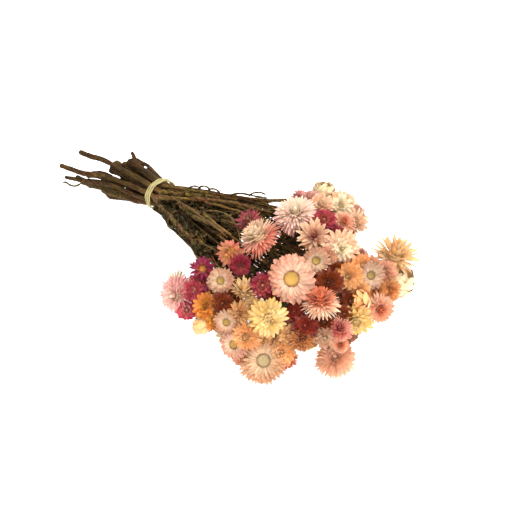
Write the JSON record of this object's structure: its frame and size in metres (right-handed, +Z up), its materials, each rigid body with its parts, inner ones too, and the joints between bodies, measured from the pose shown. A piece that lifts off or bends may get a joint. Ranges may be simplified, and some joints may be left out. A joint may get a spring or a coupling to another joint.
{
  "type": "dried strawflower bunch",
  "caption": "Dried strawflower bunch lying on its side: woody stems held by a raffia tie fan out to a mound of papery, many-bracted blooms in peach, coral, crimson and yellow.",
  "frame": {"origin": "middle of the bunch's bounding box, on the surface that it lies on", "axes": "+X from the stem ends to the blooms, +Z up, +Y across the bunch"},
  "size_m": [0.4126, 0.2252, 0.1461],
  "materials": {
    "peach": "papery, satin",
    "salmon": "papery, satin",
    "coral": "papery, satin",
    "crimson": "papery, satin",
    "pink": "papery, satin",
    "cream": "papery, satin",
    "yellow": "papery, satin",
    "orange": "papery, satin",
    "rust": "papery, satin",
    "stem": "dry fibrous bark, matte",
    "raffia": "dry fibre, matte"
  },
  "bodies": {
    "root": {"bloom_01_salmon": "salmon", "bloom_02_magenta": "crimson", "bloom_03_peach": "peach", "bloom_04_orange": "orange", "bloom_05_coral": "coral", "bloom_06_cream": "cream", "bloom_07_crimson": "crimson", "bloom_08_pink": "pink", "bloom_09_peach": "peach", "bloom_10_yellow": "yellow", "bloom_11_peach": "peach", "bloom_12_pink": "pink", "bloom_13_pink": "pink", "bloom_14_ochre": "rust", "bloom_15_peach": "peach", "bloom_16_peach": "peach", "bloom_17_pink": "pink", "bloom_18_peach": "peach", "bloom_19_red": "crimson", "bloom_20_yellow": "yellow", "bloom_21_peach": "peach", "bloom_22_yellow": "yellow", "bloom_23_orange": "orange", "bloom_24_cream": "cream", "bloom_25_orange": "orange", "bloom_26_cream": "cream", "bloom_27_coral": "coral", "bloom_28_yellow": "yellow", "bloom_29_coral": "coral", "bloom_30_rust": "rust", "bloom_31_rust": "rust", "bloom_32_orange": "orange", "bloom_33_crimson": "crimson", "bloom_34_coral": "coral", "bloom_35_magenta": "crimson", "bloom_36_peach": "peach", "bloom_37_coral": "coral", "bloom_38_yellow": "yellow", "bloom_39_pink": "pink", "bloom_40_cream": "cream", "bloom_41_orange": "orange", "bloom_42_crimson": "crimson", "bloom_43_peach": "peach", "bloom_44_salmon": "salmon", "bloom_45_cream": "cream", "bloom_46_rust": "rust", "bloom_47_pink": "pink", "stem_01": "stem", "stem_02": "stem", "stem_03": "stem", "stem_04": "stem", "stem_05": "stem", "stem_06": "stem", "stem_07": "stem", "stem_08": "stem", "stem_09": "stem", "stem_10": "stem", "stem_11": "stem", "stem_12": "stem", "raffia_tie": "raffia"}
  },
  "joints": []
}
